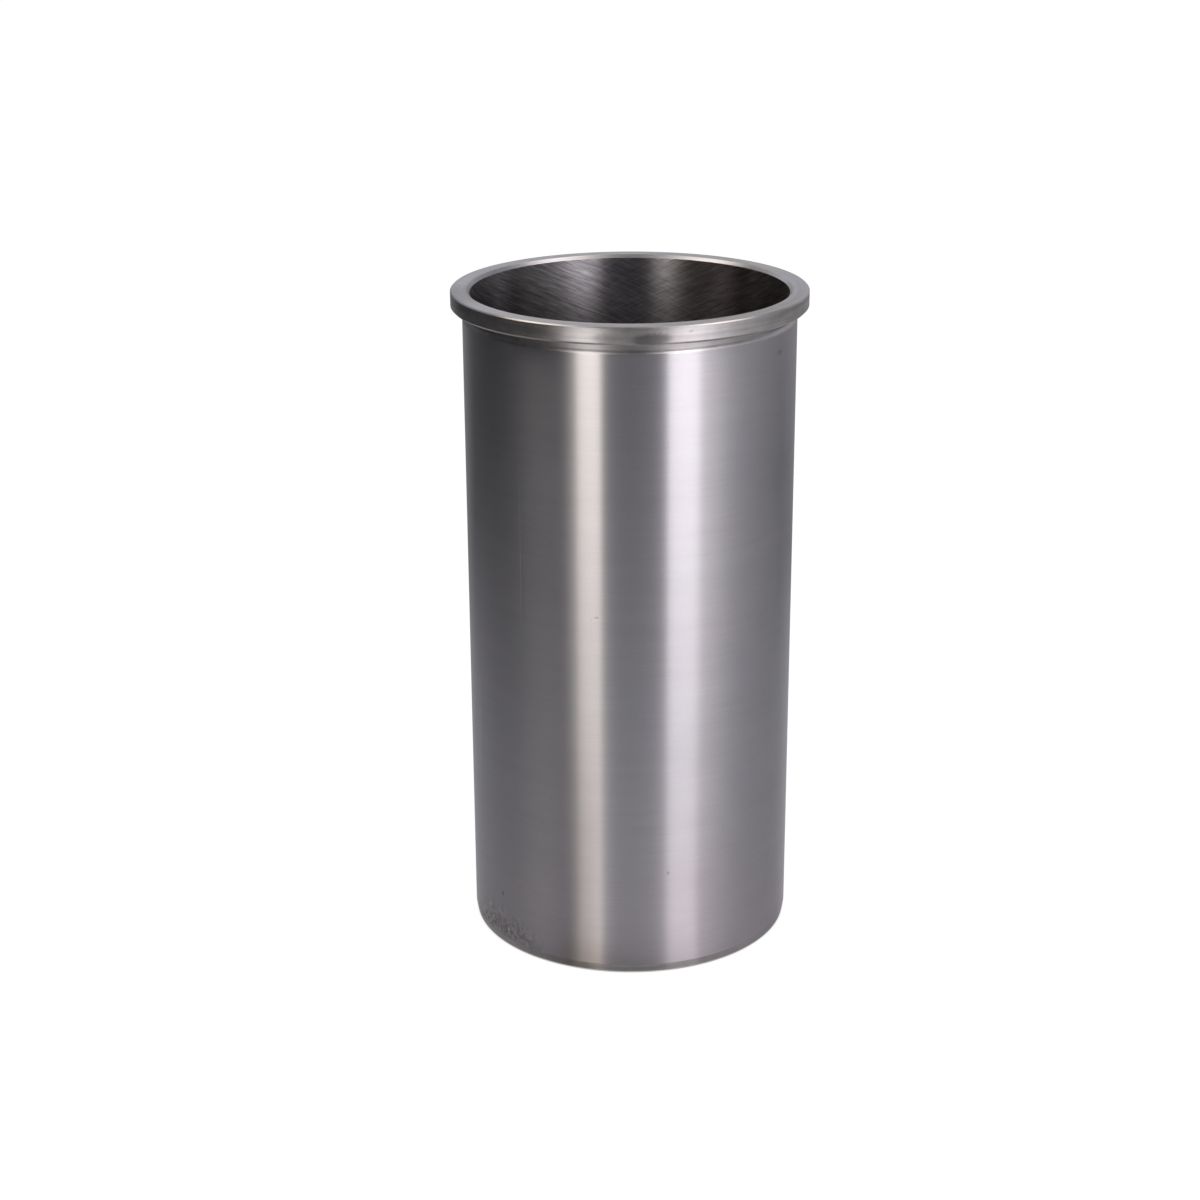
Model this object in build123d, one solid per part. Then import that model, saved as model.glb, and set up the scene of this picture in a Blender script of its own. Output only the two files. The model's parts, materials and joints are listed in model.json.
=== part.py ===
from build123d import *
import math
import os

# A dry cylinder liner with a top flange, in millimetres. It is one grey-iron sleeve: cast
# as a tube, turned, ground outside and honed in the bore. The origin is the middle of the
# foot face on the bore axis, and +Z runs up the bore to the flange and the cylinder head.

# The sleeve
bore_diameter = 100.0
wall = 2.5
liner_height = 213.0

# The flange, which hangs in a counterbore of the block
flange_height = 5.5
flange_overhang = 3.6
flange_top_chamfer = 0.4
flange_lower_chamfer = 0.7

# The mouth of the bore, which lets the piston rings in
mouth_chamfer = 1.0

# The undercut neck below the flange, where the grinding wheel runs out
neck_height = 2.6
neck_depth = 0.45
neck_root_radius = 0.4
neck_ramp_angle = 45.0

# The foot, tapered outside so that the sleeve starts in its block
foot_lead_height = 3.0
foot_lead_angle = 10.0
foot_edge_radius = 0.3
foot_bore_chamfer = 0.5

# Radii and heights that follow from the sizes above
bore_radius = bore_diameter / 2
outside_radius = bore_radius + wall
flange_radius = outside_radius + flange_overhang
flange_underside = liner_height - flange_height
neck_radius = outside_radius - neck_depth
neck_foot = flange_underside - neck_height
neck_ramp_height = neck_depth * math.tan(math.radians(neck_ramp_angle))
foot_lead_depth = foot_lead_height * math.tan(math.radians(foot_lead_angle))
foot_face_radius = outside_radius - foot_lead_depth


def outline():
    """Corners of the wall's section as (radius, height), from the foot up the outside and down the bore."""
    foot = [
        (bore_radius + foot_bore_chamfer, 0),
        (foot_face_radius, 0),
        (outside_radius, foot_lead_height),
    ]
    neck = [
        (outside_radius, neck_foot),
        (neck_radius, neck_foot + neck_ramp_height),
        (neck_radius, flange_underside),
    ]
    flange = [
        (flange_radius - flange_lower_chamfer, flange_underside),
        (flange_radius, flange_underside + flange_lower_chamfer),
        (flange_radius, liner_height - flange_top_chamfer),
        (flange_radius - flange_top_chamfer, liner_height),
    ]
    bore = [
        (bore_radius + mouth_chamfer, liner_height),
        (bore_radius, liner_height - mouth_chamfer),
        (bore_radius, foot_bore_chamfer),
    ]
    return foot + neck + flange + bore


def corner(sketch, radius, height):
    """The corner of the section at a radius and a height."""
    return sketch.vertices().sort_by_distance((radius, height))[0]


def cylinder_liner():
    """The whole sleeve: one section of its wall turned about the bore axis."""
    with BuildPart() as liner:
        with BuildSketch(Plane.XZ) as section:
            with BuildLine():
                Polyline(*outline(), close=True)
            make_face()
            fillet(corner(section, neck_radius, flange_underside), neck_root_radius)
            fillet(corner(section, foot_face_radius, 0), foot_edge_radius)
        revolve(axis=Axis.Z)
    return liner.part


os.makedirs("parts", exist_ok=True)
export_step(cylinder_liner(), "parts/cylinder_liner.step")
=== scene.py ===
import json
import math

import bpy
from mathutils import Matrix, Vector


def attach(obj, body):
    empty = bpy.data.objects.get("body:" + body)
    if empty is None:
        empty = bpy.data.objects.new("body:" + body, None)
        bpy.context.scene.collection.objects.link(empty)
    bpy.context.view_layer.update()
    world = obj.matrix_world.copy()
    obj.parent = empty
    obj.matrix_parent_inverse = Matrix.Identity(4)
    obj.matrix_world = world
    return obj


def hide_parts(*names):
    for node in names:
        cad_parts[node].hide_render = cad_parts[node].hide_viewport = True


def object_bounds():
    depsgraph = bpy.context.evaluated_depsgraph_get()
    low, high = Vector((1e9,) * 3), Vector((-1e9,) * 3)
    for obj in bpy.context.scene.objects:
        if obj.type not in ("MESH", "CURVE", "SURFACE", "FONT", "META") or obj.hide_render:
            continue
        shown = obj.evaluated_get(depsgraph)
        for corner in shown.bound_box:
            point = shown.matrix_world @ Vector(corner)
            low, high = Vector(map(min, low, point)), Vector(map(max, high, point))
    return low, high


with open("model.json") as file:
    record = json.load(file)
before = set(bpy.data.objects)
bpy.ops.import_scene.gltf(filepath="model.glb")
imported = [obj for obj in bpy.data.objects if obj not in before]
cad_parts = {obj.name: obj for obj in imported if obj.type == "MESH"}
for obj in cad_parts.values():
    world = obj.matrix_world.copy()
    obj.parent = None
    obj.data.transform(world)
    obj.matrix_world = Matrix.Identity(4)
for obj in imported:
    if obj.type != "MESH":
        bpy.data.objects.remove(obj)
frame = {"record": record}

cad_low, cad_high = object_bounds()
mounts = {mount["name"]: mount for mount in frame["record"]["mounts"]}

# The ground outside. The liner is pressed into a bored block, so its outside is ground
# round and to size. The wheel's fine level marks draw each reflection out upwards and
# downwards, and handling has left a few scratches and stains.
ground_tint = (0.56, 0.54, 0.565)
outside_radius = mounts["ground_outside"]["dims"]["r_mm"] / 1000
blush_tint = (1.045, 0.995, 1.0)
blush_height = 0.07
stain_tint = (1.0, 0.965, 0.9)


def add(tree, kind, inputs=None, **settings):
    """Adds a node. Each input is a plain value, or the socket that feeds it."""
    node = tree.nodes.new(kind)
    for name, value in settings.items():
        setattr(node, name, value)
    for name, value in (inputs or {}).items():
        if isinstance(value, bpy.types.NodeSocket):
            tree.links.new(value, node.inputs[name])
        else:
            node.inputs[name].default_value = value
    return node


def new_finish(name):
    """An empty material, with its tree, its Object coordinates and its output node."""
    material = bpy.data.materials.new(name)
    material.use_nodes = True
    tree = material.node_tree
    tree.nodes.clear()
    place = add(tree, "ShaderNodeTexCoord").outputs["Object"]
    return material, tree, place, add(tree, "ShaderNodeOutputMaterial")


def calculated(tree, operation, *values):
    """The result of one Math node."""
    return add(tree, "ShaderNodeMath", dict(enumerate(values)), operation=operation).outputs[0]


def times(tree, first, second):
    return calculated(tree, "MULTIPLY", first, second)


def plus(tree, first, second):
    return calculated(tree, "ADD", first, second)


def span(tree, value, low, high, to_low, to_high, curve="LINEAR"):
    """Carries a value from one range to another, and holds it at the ends."""
    facts = {"Value": value, "From Min": low, "From Max": high, "To Min": to_low, "To Max": to_high}
    return add(tree, "ShaderNodeMapRange", facts, interpolation_type=curve).outputs["Result"]


def held(tree, value):
    """The value, kept between 0 and 1."""
    return span(tree, value, 0, 1, 0, 1)


def noise(tree, place, scale, detail=3.0):
    facts = {"Vector": place, "Scale": scale, "Detail": detail, "Roughness": 0.6}
    return add(tree, "ShaderNodeTexNoise", facts).outputs["Fac"]


def streaks(tree, place, around, along):
    """Noise drawn out round the liner: slow in X and Y, quick in Z, in cycles a metre."""
    stretched = add(tree, "ShaderNodeMapping", {"Vector": place, "Scale": (around, around, along)})
    return noise(tree, stretched.outputs["Vector"], 1.0)


def shaded(tree, colour, amount):
    """The colour, darker or lighter by an amount about 1."""
    facts = {0: colour, "Scale": amount}
    return add(tree, "ShaderNodeVectorMath", facts, operation="SCALE").outputs["Vector"]


def stained(tree, colour, mask, tint):
    """The colour, turned by a tint where the mask is 1."""
    facts = {"Factor": mask, "A": colour, "B": (*tint, 1)}
    return add(tree, "ShaderNodeMix", facts, data_type="RGBA", blend_type="MULTIPLY").outputs["Result"]


def axes_of(tree, place):
    """The X, Y and Z of a place."""
    return add(tree, "ShaderNodeSeparateXYZ", {"Vector": place}).outputs


def bearing_of(tree, place):
    """The angle from the front round to the right, up to half a turn each way."""
    axes = axes_of(tree, place)
    return calculated(tree, "ARCTAN2", axes["X"], times(tree, axes["Y"], -1.0))


def unrolled(tree, place, ragged):
    """Where a point lies on the wall laid flat: metres round from the front, and metres up."""
    wander = times(tree, plus(tree, noise(tree, place, 900.0), -0.5), ragged)
    round_way = plus(tree, times(tree, bearing_of(tree, place), outside_radius), wander)
    up = plus(tree, axes_of(tree, place)["Z"], wander)
    return add(tree, "ShaderNodeCombineXYZ", {"X": round_way, "Y": up}).outputs["Vector"]


def spot(tree, flat, bearing, height, width, tall, lean=0.0, soft=0.5):
    """1 inside an oval on the wall laid flat, 0 outside. Degrees, and millimetres."""
    oval = add(tree, "ShaderNodeMapping", {
        "Vector": flat,
        "Location": (math.radians(bearing) * outside_radius, height / 1000, 0),
        "Rotation": (0, 0, math.radians(lean)),
        "Scale": (width / 2000, tall / 2000, 1),
    }, vector_type="TEXTURE").outputs["Vector"]
    away = add(tree, "ShaderNodeVectorMath", {0: oval}, operation="LENGTH").outputs["Value"]
    return span(tree, away, 1 - soft, 1, 1, 0, "SMOOTHSTEP")


def marked(tree, tone, flat, marks):
    """The tone after oval marks: bearing, height, width, how tall, lean, and the change of tone."""
    for bearing, height, width, tall, lean, change in marks:
        mark = spot(tree, flat, bearing, height, width, tall, lean)
        tone = times(tree, tone, span(tree, mark, 0, 1, 1, change))
    return tone


def brushed_metal(tree, output, colour, roughness, stretch, relief, strength, depth):
    """Metal whose fine marks run round it and draw each reflection out upwards and downwards."""
    bump = add(tree, "ShaderNodeBump", {"Height": relief, "Strength": strength, "Distance": depth})
    round_way = add(tree, "ShaderNodeTangent", direction_type="RADIAL", axis="Z")
    skin = add(tree, "ShaderNodeBsdfPrincipled", {
        "Base Color": colour,
        "Metallic": 1.0,
        "Roughness": roughness,
        "Anisotropic": stretch,
        "Anisotropic Rotation": 0.25,
        "Tangent": round_way.outputs["Tangent"],
        "Normal": bump.outputs["Normal"],
    })
    tree.links.new(skin.outputs["BSDF"], output.inputs["Surface"])


ground, tree, place, output = new_finish("ground_iron")
wheel_marks = streaks(tree, place, 60, 4200)
wheel_bands = streaks(tree, place, 14, 260)
cloud = noise(tree, place, 45.0)
grain = noise(tree, place, 1400.0)
tone = span(tree, wheel_marks, 0.3, 0.7, 0.96, 1.04)
tone = times(tree, tone, span(tree, wheel_bands, 0.3, 0.7, 0.98, 1.02))
tone = times(tree, tone, span(tree, cloud, 0.3, 0.7, 0.975, 1.025))
tone = times(tree, tone, span(tree, grain, 0.3, 0.7, 0.985, 1.015))
flat = unrolled(tree, place, 0.0006)
tone = marked(tree, tone, flat, (
    (-11.2, 121.7, 1.9, 0.75, 4, 0.66),
    (-13.1, 120.9, 0.7, 0.8, 0, 0.88),
    (-12.8, 116.0, 0.35, 9.0, 0.5, 0.93),
    (13.3, 35.2, 1.2, 1.5, 0, 0.7),
    (60.4, 198.3, 4.6, 1.7, 0, 0.8),
    (-39.8, 139.0, 0.5, 58.0, -0.2, 1.22),
    (-38.9, 128.0, 0.5, 30.0, -0.2, 0.88),
    (-67.6, 70.0, 1.0, 48.0, -1.2, 1.2),
    (-69.5, 60.0, 0.8, 60.0, -1.0, 1.12),
    (-52.5, 18.3, 1.3, 2.2, 0, 0.62),
    (-61.5, 11.1, 1.4, 2.0, 0, 1.25),
    (-49.2, 7.4, 1.3, 4.0, 8, 1.25),
    (-39.9, 4.0, 1.3, 1.6, 0, 1.25),
    (-66.0, 17.5, 2.0, 2.4, 0, 0.85),
))
wet_foot = spot(tree, flat, -55.0, 0.0, 54.0, 32.0, soft=0.6)
mottle = noise(tree, place, 620.0, detail=5.0)
mottled = times(tree, wet_foot, span(tree, mottle, 0.38, 0.62, -0.4, 0.2))
tone = times(tree, tone, plus(tree, 1.0, mottled))
wiped = spot(tree, flat, -14.0, 4.0, 34.0, 20.0, soft=0.9)
tone = times(tree, tone, span(tree, wiped, 0, 1, 1, 0.93))
blush = span(tree, noise(tree, place, 28.0), 0.4, 0.65, 0, 0.4)
blush = plus(tree, blush, span(tree, axes_of(tree, place)["Z"], 0, blush_height, 0.7, 0))
colour = stained(tree, shaded(tree, ground_tint, tone), held(tree, blush), blush_tint)
stain = plus(tree, times(tree, wet_foot, span(tree, mottle, 0.35, 0.6, 0, 1)), times(tree, wiped, 0.8))
colour = stained(tree, colour, held(tree, stain), stain_tint)
roughness = span(tree, cloud, 0.3, 0.7, 0.3, 0.325)
brushed_metal(tree, output, colour, roughness, stretch=1.0, relief=wheel_marks, strength=0.12, depth=0.00002)

# The turned faces. The flange, its chamfers, the undercut neck and the tapered foot were
# only turned, so the tool's groove runs round them and they shine less evenly. The side of
# the flange has a dark smudge at the front, and the neck under the flange is darkened by
# painted shade.
turned_tint = (0.505, 0.487, 0.51)
oxide_tint = (1.03, 1.0, 0.93)
rust_tint = (1.0, 0.93, 0.9)
neck_painted_shade = 0.8
neck_starts = (0.2052, 0.2055)
neck_stops = (0.2074, 0.2078)
neck_reaches = (0.0524, 0.0530)


def out_from_axis(tree, place):
    """The distance from the bore axis."""
    facts = {0: place, 1: (1, 1, 0)}
    level = add(tree, "ShaderNodeVectorMath", facts, operation="MULTIPLY").outputs["Vector"]
    return add(tree, "ShaderNodeVectorMath", {0: level}, operation="LENGTH").outputs["Value"]


turned, tree, place, output = new_finish("turned_iron")
axes = axes_of(tree, place)
from_axis = out_from_axis(tree, place)
tool_path = plus(tree, times(tree, from_axis, 0.6), axes["Z"])
facts = {"X": axes["X"], "Y": axes["Y"], "Z": tool_path}
wound = add(tree, "ShaderNodeCombineXYZ", facts).outputs["Vector"]
grooves = streaks(tree, wound, 25, 5000)
tool_bands = streaks(tree, wound, 22, 1100)
blotches = noise(tree, place, 260.0, detail=4.0)
tone = times(tree, span(tree, grooves, 0.3, 0.7, 0.94, 1.06), span(tree, blotches, 0.3, 0.7, 0.93, 1.07))
tone = times(tree, tone, span(tree, tool_bands, 0.3, 0.7, 0.88, 1.12))
flat = unrolled(tree, place, 0.0016)
tone = marked(tree, tone, flat, (
    (6.6, 209.3, 14.0, 4.8, 2, 0.54),
    (-7.5, 209.6, 9.0, 4.0, 0, 0.8),
    (18.6, 211.2, 1.8, 1.2, 0, 0.8),
    # Painted shade: the left end of the flange side, darker.
    (-78.0, 211.8, 46.0, 4.6, 0, 0.66),
    (-33.0, 210.4, 26.0, 2.6, -2, 0.86),
    (36.0, 209.5, 7.0, 1.6, 8, 0.9),
    (52.0, 210.5, 9.0, 2.2, 6, 0.9),
    # Painted highlight: the right end of the flange side, lighter.
    (70.0, 209.0, 44.0, 8.0, 0, 1.35),
))
# Painted shade: the undercut neck, under the flange, is made darker.
in_neck = span(tree, axes["Z"], *neck_starts, 0, 1)
in_neck = times(tree, in_neck, span(tree, axes["Z"], *neck_stops, 1, 0))
in_neck = times(tree, in_neck, span(tree, from_axis, *neck_reaches, 1, 0))
tone = times(tree, tone, span(tree, in_neck, 0, 1, 1, neck_painted_shade))
oxide = span(tree, noise(tree, place, 34.0, detail=4.0), 0.42, 0.6, 0, 0.8)
for bearing, width in ((64.0, 50.0), (-34.0, 34.0)):
    oxide = plus(tree, oxide, spot(tree, flat, bearing, 210.5, width, 16.0, soft=0.8))
oxide = plus(tree, oxide, span(tree, axes["Z"], 0.004, 0.006, 0.9, 0))
rust = spot(tree, flat, 57.0, 209.5, 7.0, 4.0, soft=0.9)
colour = stained(tree, shaded(tree, turned_tint, tone), held(tree, oxide), oxide_tint)
colour = stained(tree, colour, rust, rust_tint)
roughness = span(tree, blotches, 0.3, 0.7, 0.32, 0.37)
brushed_metal(tree, output, colour, roughness, stretch=0.54, relief=grooves, strength=0.2, depth=0.00003)

# The honed bore. Stones that turned and stroked up and down have left two sets of fine
# scratches, which cross and hold the oil, and which catch the light in crossing streaks.
# Which set shows more on each side is a painted glint.
honed_tint = (0.4, 0.382, 0.4)
right_wall_shade_tint = (0.74, 0.67, 0.6)
hone_angle = math.radians(25)
bore_radius = mounts["bore"]["dims"]["r_mm"] / 1000


def hatching(tree, place, lean, around, along):
    """Scratches that climb round the bore by an angle: noise on coordinates twisted with height."""
    twist = times(tree, axes_of(tree, place)["Z"], 1 / (bore_radius * math.tan(lean)))
    twisted = add(tree, "ShaderNodeVectorRotate", {"Vector": place, "Angle": twist}, rotation_type="Z_AXIS")
    return streaks(tree, twisted.outputs["Vector"], around, along)


honed, tree, place, output = new_finish("honed_iron")
across = axes_of(tree, place)["X"]
# Painted glint: one set of scratches is stronger on the right wall and the other on the left, in the colour
# as well as in the bumps.
rising_painted_glint = span(tree, across, -0.02, 0.03, 0.1, 0.9)
falling_painted_glint = span(tree, across, -0.02, 0.03, 0.9, 0.1)
fine = times(tree, rising_painted_glint, hatching(tree, place, hone_angle, 820, 360))
fine = plus(tree, fine, times(tree, falling_painted_glint, hatching(tree, place, -hone_angle, 820, 360)))
broad = times(tree, rising_painted_glint, hatching(tree, place, hone_angle, 480, 170))
broad = plus(tree, broad, times(tree, falling_painted_glint, hatching(tree, place, -hone_angle, 480, 170)))
tone = times(tree, span(tree, fine, 0.35, 0.65, 0.68, 1.32), span(tree, broad, 0.35, 0.65, 0.76, 1.24))
# Painted shade: the right wall of the bore is made darker and browner.
right_wall_painted_shade = span(tree, across, 0.012, 0.032, 0, 1)
colour = stained(tree, shaded(tree, honed_tint, tone), right_wall_painted_shade, right_wall_shade_tint)
brushed_metal(tree, output, colour, roughness=0.3, stretch=0.84, relief=fine, strength=0.5, depth=0.00006)

# The liner itself. One tube of grey iron, cast and turned all over, with a flange on top,
# an undercut neck below it where the grinding wheel ran out, and a slightly tapered foot.
# The ground outside meets the neck in a gentle ramp with a rounded edge.
steps_around = 360
arc_steps = 6
turned_edge = 0.0001
neck_depth = 0.00045
neck_ramp_angle = math.radians(45)
neck_root = 0.0004
run_out = 0.0006
run_out_edge = 0.003
foot_taper_angle = math.radians(10)
foot_edge = 0.0003


def ends(mount):
    """The lowest and highest point of a round fit on the bore axis."""
    half = mount["dims"]["length_mm"] / 2000
    return mount["pos_m"][2] - half, mount["pos_m"][2] + half


ground_foot, ground_top = ends(mounts["ground_outside"])
ground_head = ground_top - run_out
bore_foot, bore_head = ends(mounts["bore"])
rim_foot, rim_head = ends(mounts["flange_rim"])
underside = mounts["flange_underside"]["pos_m"][2]
top = mounts["top_face"]["pos_m"][2]
rim_radius = min(cad_high.x, cad_high.y, -cad_low.x, -cad_low.y)
neck_radius = outside_radius - neck_depth
neck_foot = ground_top + neck_depth * math.tan(neck_ramp_angle)
foot_radius = outside_radius - ground_foot * math.tan(foot_taper_angle)


def rounded(corners, guard=0.00006):
    """The closed outline through (radius, height, edge round) corners, with an arc at each.
    A guard point on each side of an arc keeps the shading of the flat faces level."""
    points = []
    for number, (radius, height, edge) in enumerate(corners):
        corner = Vector((radius, height))
        to_last = (Vector(corners[number - 1][:2]) - corner).normalized()
        to_next = (Vector(corners[(number + 1) % len(corners)][:2]) - corner).normalized()
        half_angle = to_last.angle(to_next) / 2
        run_in = edge / math.tan(half_angle)
        centre = corner + (to_last + to_next).normalized() * edge / math.sin(half_angle)
        start = (corner + to_last * run_in - centre).normalized()
        end = (corner + to_next * run_in - centre).normalized()
        points.append(corner + to_last * (run_in + guard))
        for step in range(arc_steps + 1):
            points.append(centre + start.slerp(end, step / arc_steps) * edge)
        points.append(corner + to_next * (run_in + guard))
    return points


outline = rounded([
    (bore_radius + bore_foot, 0, turned_edge),
    (foot_radius, 0, foot_edge),
    (outside_radius, ground_foot, turned_edge),
    (outside_radius, ground_head, run_out_edge),
    (neck_radius, neck_foot, turned_edge),
    (neck_radius, underside, neck_root),
    (rim_radius - (rim_foot - underside), underside, turned_edge),
    (rim_radius, rim_foot, turned_edge),
    (rim_radius, rim_head, turned_edge),
    (rim_radius - (top - rim_head), top, turned_edge),
    (bore_radius + (top - bore_head), top, turned_edge),
    (bore_radius, bore_head, turned_edge),
    (bore_radius, bore_foot, turned_edge),
])


def lathe_tree():
    """The Geometry Nodes tree that turns an outline in X and Y about the bore axis."""
    tree = bpy.data.node_groups.new("turn_outline", "GeometryNodeTree")
    face = tree.interface
    face.new_socket("Outline", in_out="INPUT", socket_type="NodeSocketGeometry")
    face.new_socket("Steps around", in_out="INPUT", socket_type="NodeSocketInt")
    for name in ("Bore radius", "Bore foot", "Bore head", "Outside radius", "Ground foot", "Ground head"):
        face.new_socket(name, in_out="INPUT", socket_type="NodeSocketFloat")
    for name in ("Turned", "Ground", "Honed"):
        face.new_socket(name, in_out="INPUT", socket_type="NodeSocketMaterial")
    face.new_socket("Liner", in_out="OUTPUT", socket_type="NodeSocketGeometry")
    given = add(tree, "NodeGroupInput").outputs

    def maths(operation, *values):
        return calculated(tree, operation, *values)

    curve = add(tree, "GeometryNodeMeshToCurve", {"Mesh": given["Outline"]}).outputs["Curve"]
    size = add(tree, "GeometryNodeAttributeDomainSize", {"Geometry": curve}, component="CURVE").outputs
    rows = maths("ADD", size["Point Count"], 1)
    columns = maths("ADD", given["Steps around"], 1)
    shell = add(tree, "GeometryNodeMeshGrid", {"Vertices X": columns, "Vertices Y": rows}).outputs["Mesh"]
    index = add(tree, "GeometryNodeInputIndex").outputs["Index"]
    column = maths("FLOOR", maths("DIVIDE", maths("ADD", index, 0.5), rows))
    row = maths("SUBTRACT", index, maths("MULTIPLY", column, rows))
    closing = maths("GREATER_THAN", maths("ADD", row, 0.5), size["Point Count"])
    round_row = maths("FLOOR", maths("ADD", 0.25, maths("MULTIPLY", row, maths("SUBTRACT", 1, closing))))

    def sampled(value, data_type):
        """A value of the outline at this row."""
        facts = {"Geometry": curve, "Value": value, "Index": round_row}
        picked = add(tree, "GeometryNodeSampleIndex", facts, data_type=data_type, domain="POINT")
        return picked.outputs["Value"]

    position = add(tree, "GeometryNodeInputPosition").outputs["Position"]
    corner = add(tree, "ShaderNodeSeparateXYZ", {"Vector": sampled(position, "FLOAT_VECTOR")}).outputs
    share = maths("DIVIDE", column, given["Steps around"])
    angle = maths("MULTIPLY", share, math.tau)
    turned_corner = add(tree, "ShaderNodeCombineXYZ", {
        "X": maths("MULTIPLY", maths("COSINE", angle), corner["X"]),
        "Y": maths("MULTIPLY", maths("SINE", angle), corner["X"]),
        "Z": corner["Y"],
    }).outputs["Vector"]
    run = add(tree, "GeometryNodeSplineParameter").outputs["Factor"]
    sheet = add(tree, "ShaderNodeCombineXYZ", {"X": share, "Y": maths("ADD", sampled(run, "FLOAT"), closing)})
    kept = tree.nodes.new("GeometryNodeCaptureAttribute")
    kept.domain = "POINT"
    kept.capture_items.new("VECTOR", "sheet")
    tree.links.new(shell, kept.inputs[0])
    tree.links.new(sheet.outputs["Vector"], kept.inputs[1])
    shell = add(tree, "GeometryNodeStoreNamedAttribute", {
        "Geometry": kept.outputs[0],
        "Name": "OFBake",
        "Value": kept.outputs[1],
    }, data_type="FLOAT2", domain="CORNER").outputs["Geometry"]

    def after(kind, shell, **values):
        """The shell after one more node, whose other inputs are given by name."""
        facts = {name.replace("_", " "): value for name, value in values.items()}
        return add(tree, kind, {"Geometry": shell, **facts}).outputs["Geometry"]

    shell = after("GeometryNodeSetPosition", shell, Position=turned_corner)
    shell = after("GeometryNodeMergeByDistance", shell, Distance=5e-7)
    shell = after("GeometryNodeSetShadeSmooth", shell, Shade_Smooth=True)

    apart = add(tree, "ShaderNodeSeparateXYZ", {"Vector": position}).outputs
    across = maths("MULTIPLY", apart["X"], apart["X"])
    deep = maths("MULTIPLY", apart["Y"], apart["Y"])
    radius = maths("SQRT", maths("ADD", across, deep))

    def wall(wanted_radius, foot, head):
        """1 on the faces at a radius, between two heights."""
        on_wall = maths("COMPARE", radius, wanted_radius, 0.00002)
        above = maths("GREATER_THAN", apart["Z"], foot)
        return maths("MULTIPLY", on_wall, maths("MULTIPLY", above, maths("LESS_THAN", apart["Z"], head)))

    shell = after("GeometryNodeSetMaterial", shell, Material=given["Turned"])
    for faces, finish in (
        (wall(given["Outside radius"], given["Ground foot"], given["Ground head"]), "Ground"),
        (wall(given["Bore radius"], given["Bore foot"], given["Bore head"]), "Honed"),
    ):
        shell = after("GeometryNodeSetMaterial", shell, Selection=faces, Material=given[finish])
    shell = after("GeometryNodeRealizeInstances", shell)
    add(tree, "NodeGroupOutput", {"Liner": shell})
    return tree


def placed(name, data):
    """A new object in the scene, at the origin."""
    thing = bpy.data.objects.new(name, data)
    bpy.context.collection.objects.link(thing)
    return thing


section = bpy.data.meshes.new("section")
section_edges = [(number, (number + 1) % len(outline)) for number in range(len(outline))]
section.from_pydata([(point.x, point.y, 0) for point in outline], section_edges, [])
blank = placed("section", section)
lathe = blank.modifiers.new("turn", "NODES")
lathe.node_group = lathe_tree()
sockets = lathe.node_group.interface.items_tree
for name, value in {
    "Steps around": steps_around,
    "Bore radius": bore_radius,
    "Bore foot": bore_foot,
    "Bore head": bore_head,
    "Outside radius": outside_radius,
    "Ground foot": ground_foot,
    "Ground head": ground_head,
    "Turned": turned,
    "Ground": ground,
    "Honed": honed,
}.items():
    lathe[sockets[name].identifier] = value
evaluated = blank.evaluated_get(bpy.context.evaluated_depsgraph_get())
liner = placed("liner", bpy.data.meshes.new_from_object(evaluated))
while liner.data.materials[0] is None:
    liner.data.materials.pop(index=0)
blank.modifiers.remove(lathe)
bpy.data.objects.remove(blank)
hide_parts("cylinder_liner")
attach(liner, "root")

# The floor. A pale sheet that is white to the camera and keeps the liner's soft shadow.
# Inside the bore it has only the light that falls in.
floor_half = 4.0
paper_glow = 0.88
paper_grey = (0.3, 0.3, 0.3, 1)
floor_mesh = bpy.data.meshes.new("floor")
floor_corners = [(x * floor_half, y * floor_half, 0) for x, y in ((-1, -1), (1, -1), (1, 1), (-1, 1))]
floor_mesh.from_pydata(floor_corners, [], [(0, 1, 2, 3)])
floor = placed("floor", floor_mesh)


def background_rays(tree):
    """1 for the rays that show the background: from the camera, a gloss or through glass."""
    rays = add(tree, "ShaderNodeLightPath").outputs
    seen = calculated(tree, "MAXIMUM", rays["Is Camera Ray"], rays["Is Glossy Ray"])
    return calculated(tree, "MAXIMUM", seen, rays["Is Transmission Ray"])


paper, tree, place, output = new_finish("floor_paper")
outside = span(tree, out_from_axis(tree, place), bore_radius, outside_radius, 0, paper_glow)
glow = add(tree, "ShaderNodeEmission", {"Strength": times(tree, background_rays(tree), outside)})
sheet = add(tree, "ShaderNodeBsdfDiffuse", {"Color": paper_grey})
both = add(tree, "ShaderNodeAddShader", {0: glow.outputs["Emission"], 1: sheet.outputs["BSDF"]})
tree.links.new(both.outputs["Shader"], output.inputs["Surface"])
floor_mesh.materials.append(paper)

# The studio cards. Metal shows whatever stands round it, so cards on the table, round the
# room and overhead give it something to show. The camera doesn't see them.
card_steps = 96
room_radius = 1.5
band_foot = 0.27
band_head = 0.6
wall_head = 1.6
room_head = 3.2
table_reach = 0.35
contact_reach = 0.075
contact_shade = 0.52
card_lift = 0.0005
card_middle = 0.001
mirror_rounds = 4
cool = (0.99, 1.0, 1.05)
warm = (1.04, 1.0, 0.925)
lilac = (1.02, 1.0, 1.035)


def by_bearing(tree, bearing, stops):
    """The light for each bearing from the liner, from stops in degrees. A stop without a tint is cool."""
    ramp = add(tree, "ShaderNodeValToRGB", {"Fac": span(tree, bearing, -math.pi, math.pi, 0, 1)})
    elements = ramp.color_ramp.elements
    while len(elements) < len(stops):
        elements.new(0.5)
    for element, (degrees, level, *tint) in zip(elements, stops):
        element.position = (degrees + 180) / 360
        element.color = (*[level * share for share in (tint[0] if tint else cool)], 1)
    return ramp.outputs["Color"]


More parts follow.
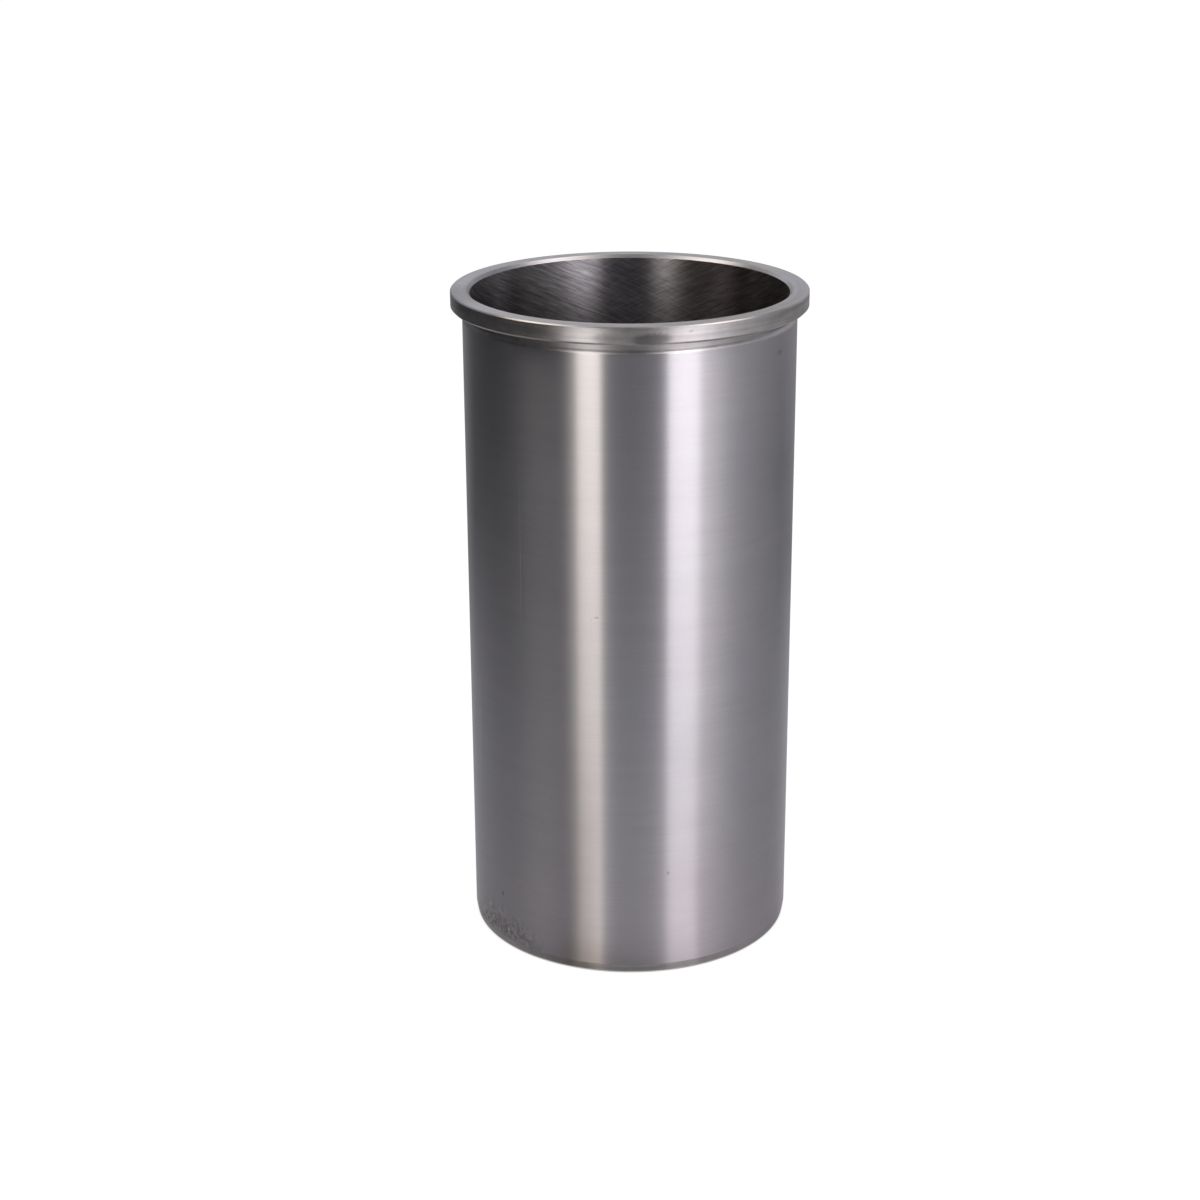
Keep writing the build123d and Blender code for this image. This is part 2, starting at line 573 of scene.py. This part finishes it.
def mirrored_bearing(tree, place, radius):
    """The bearing in which the outside mirrors a place on the table, found in a few rounds.
    Next to the liner it is twice the place's own bearing, and far off it is the same."""
    own = bearing_of(tree, place)
    nearness = calculated(tree, "MINIMUM", calculated(tree, "DIVIDE", outside_radius, radius), 1.0)
    bearing = own
    for _ in range(mirror_rounds):
        half = calculated(tree, "SINE", times(tree, bearing, 0.5))
        turn = calculated(tree, "ARCSINE", times(tree, nearness, half))
        bearing = plus(tree, own, turn)
    return bearing


def card(name, inner, outer, low, high):
    """A ring from one radius and height to another, which only metal sees."""
    points = []
    for radius, height in ((inner, low), (outer, high)):
        for step in range(card_steps):
            angle = math.tau * step / card_steps
            points.append((radius * math.cos(angle), radius * math.sin(angle), height))
    faces = []
    for step in range(card_steps):
        following = (step + 1) % card_steps
        faces.append((step, following, card_steps + following, card_steps + step))
    mesh = bpy.data.meshes.new(name)
    mesh.from_pydata(points, [], faces)
    ring = placed(name, mesh)
    ring.visible_camera = False
    ring.visible_diffuse = False
    ring.visible_shadow = False
    ring.visible_transmission = False
    material, tree, place, output = new_finish(name)
    material.cycles.emission_sampling = "NONE"
    mesh.materials.append(material)
    light = add(tree, "ShaderNodeEmission")
    tree.links.new(light.outputs["Emission"], output.inputs["Surface"])
    return tree, place, light.inputs["Color"]


tree, place, colour = card("table_card", card_middle, room_radius, card_lift, card_lift)
radius = out_from_axis(tree, place)
mirrored = mirrored_bearing(tree, place, radius)
near = by_bearing(tree, mirrored, [
    (-180, 0.5), (-163, 0.45), (-137, 0.33), (-111, 0.3), (-90, 0.3), (-62, 0.32), (-51, 0.28),
    (-44, 0.24), (-37.5, 0.38, warm), (-29.5, 0.5, warm), (-22, 0.85, warm), (-17, 0.6), (-9, 0.5),
    (5, 0.5), (17, 0.55), (24, 0.64), (30, 0.88, lilac), (46, 0.85, lilac), (52, 0.5, lilac),
    (68, 0.41), (96, 0.33), (117, 0.3), (135, 0.33), (153, 0.45), (169, 0.55), (180, 0.5),
])
far = by_bearing(tree, mirrored, [
    (-180, 0.3), (-153, 0.2), (-138, 0.05), (-107, 0.04), (-82, 0.05), (-51, 0.07), (-46, 0.12),
    (-43, 0.33, warm), (-38, 0.9, warm), (-33, 1.25, warm), (-27, 1.45, warm), (-20.5, 1.5, warm),
    (-18, 0.35), (-12, 0.22), (0, 0.2), (12, 0.22), (20.5, 0.25), (25, 0.45), (27, 1.55, lilac),
    (41, 1.75, lilac), (48, 1.7, lilac), (50.5, 1.25, lilac), (55.5, 0.95, lilac), (61.5, 0.78),
    (72, 0.45), (87, 0.29), (107, 0.12), (128, 0.05), (153, 0.2), (180, 0.3),
])
further = span(tree, radius, table_reach - 0.05, table_reach + 0.05, 0, 1)
facts = {"Factor": further, "A": near, "B": far}
table = add(tree, "ShaderNodeMix", facts, data_type="RGBA").outputs["Result"]
closeness = span(tree, radius, outside_radius, contact_reach, contact_shade, 0)
turned_away = calculated(tree, "ABSOLUTE", mirrored)
in_front = span(tree, turned_away, math.radians(40), math.radians(95), 1, 0.1)
in_contact = plus(tree, 1.0, times(tree, times(tree, closeness, in_front), -1.0))
tree.links.new(shaded(tree, table, in_contact), colour)

for name, low, high, stops in (
    ("low_card", card_lift, band_foot, [
        (-180, 0.6), (-165, 0.5), (-150, 0.1), (-130, 0.12), (-105, 0.05), (-80, 0.04), (-50, 0.1),
        (-40, 0.2), (-20, 0.2), (0, 0.1), (20, 0.2), (48, 0.4, lilac), (52, 0.65), (70, 0.7),
        (85, 0.78), (110, 0.7), (139, 0.52), (150, 0.4), (165, 0.5), (180, 0.6),
    ]),
    ("band_card", band_foot, band_head, [
        (-180, 0.5), (-150, 0.25), (-130, 0.1), (-105, 0.02), (-80, 0.02), (-60, 0.02), (-50, 0.06),
        (-46, 0.15, warm), (-42, 0.5, warm), (-38, 1.0, warm), (-35, 1.0, warm), (-31, 0.3),
        (-21, 0.3), (-18, 0.6), (-14, 0.22), (0, 0.17), (14, 0.24), (20, 0.6), (24.5, 1.4, lilac),
        (27, 0.3), (46, 0.3), (49, 3.2, lilac), (54, 2.5, lilac), (60, 1.9), (67, 1.3), (75, 0.85),
        (85, 0.55), (110, 0.5), (139, 0.45), (160, 0.5), (180, 0.5),
    ]),
    ("wall_card", band_head, wall_head, [
        (-180, 0.64), (-165, 0.98), (-140, 0.55), (-120, 0.12), (-80, 0.04), (-40, 0.02), (0, 0.0),
        (40, 0.03), (80, 0.08), (110, 0.2), (140, 0.36), (165, 0.42), (180, 0.62),
    ]),
    ("upper_card", wall_head, room_head, [
        (-180, 0.6), (-130, 0.5), (-116, 0.8), (-108, 2.8, warm), (-93, 3.6, warm), (-82, 2.8, warm),
        (-66, 1.0, warm), (-50, 0.4, warm), (-40, 0.15), (0, 0.05), (48, 0.1), (61, 2.4, warm),
        (75, 3.8, warm), (98, 4.0, warm), (106, 1.2), (114, 0.3), (130, 0.5), (180, 0.6),
    ]),
):
    tree, place, colour = card(name, room_radius, room_radius, low, high)
    tree.links.new(by_bearing(tree, bearing_of(tree, place), stops), colour)

tree, place, colour = card("ceiling_card", card_middle, room_radius, room_head, room_head)
tree.links.new(by_bearing(tree, bearing_of(tree, place), [
    (-180, 0.6), (-120, 0.5), (-90, 2.8, warm), (-70, 1.6, warm), (-58, 0.3, warm), (-46, 0.04),
    (50, 0.04), (63, 2.2, warm), (85, 2.4, warm), (120, 0.5), (180, 0.6),
]), colour)

# The lamps. Two soft boxes stand in front, a tall one on the left of the camera and a wide one
# on the right, and the world is pale air that is white to the camera.
box_distance = 1.0
air_light = 0.5


def soft_box(name, left_edge, right_edge, foot, head, radiance, tint):
    """A lit panel that stands upright and faces the liner, between two bearings from it."""
    angle = math.radians((left_edge + right_edge) / 2)
    width = 2 * box_distance * math.tan(math.radians(right_edge - left_edge) / 2)
    lamp = bpy.data.lights.new(name, "AREA")
    lamp.shape = "RECTANGLE"
    lamp.size = width
    lamp.size_y = head - foot
    lamp.energy = radiance * math.pi * width * (head - foot)
    lamp.color = tint
    panel = placed(name, lamp)
    middle = Vector((box_distance * math.sin(angle), -box_distance * math.cos(angle), (foot + head) / 2))
    upright = Matrix.Rotation(math.radians(90), 4, "X")
    panel.matrix_world = Matrix.Translation(middle) @ Matrix.Rotation(angle, 4, "Z") @ upright
    panel.visible_camera = False


soft_box("left_box", -34.5, -18.9, 0.12, 0.58, 3.2, warm)
soft_box("right_box", 25.3, 47, 0.27, 0.49, 7.4, lilac)

world = bpy.data.worlds.new("studio")
bpy.context.scene.world = world
world.use_nodes = True
tree = world.node_tree
tree.nodes.clear()
strength = span(tree, background_rays(tree), 0, 1, air_light, 1.0)
air = add(tree, "ShaderNodeBackground", {"Color": (1, 1, 1, 1), "Strength": strength})
tree.links.new(air.outputs["Background"], add(tree, "ShaderNodeOutputWorld").inputs["Surface"])

# The camera. It has the photograph's place and angle, which were found from the liner's
# outlines there.
photo_side_px = 1200
focal_px = 2312.7
camera_place = (0.0, -0.7128, 0.3658)
camera_turn = math.radians(0.785)
camera_dip = math.radians(19.815)
camera_roll = math.radians(-0.298)
lens = bpy.data.cameras.new("camera")
lens.sensor_width = 36
lens.lens = lens.sensor_width * focal_px / photo_side_px
lens.clip_start = 0.01
lens.clip_end = 20
camera = placed("camera", lens)
camera.matrix_world = (
    Matrix.Translation(camera_place)
    @ Matrix.Rotation(camera_turn, 4, "Z")
    @ Matrix.Rotation(math.pi / 2 - camera_dip, 4, "X")
    @ Matrix.Rotation(camera_roll, 4, "Z")
)
bpy.context.scene.camera = camera
bpy.context.scene.view_settings.view_transform = "Standard"
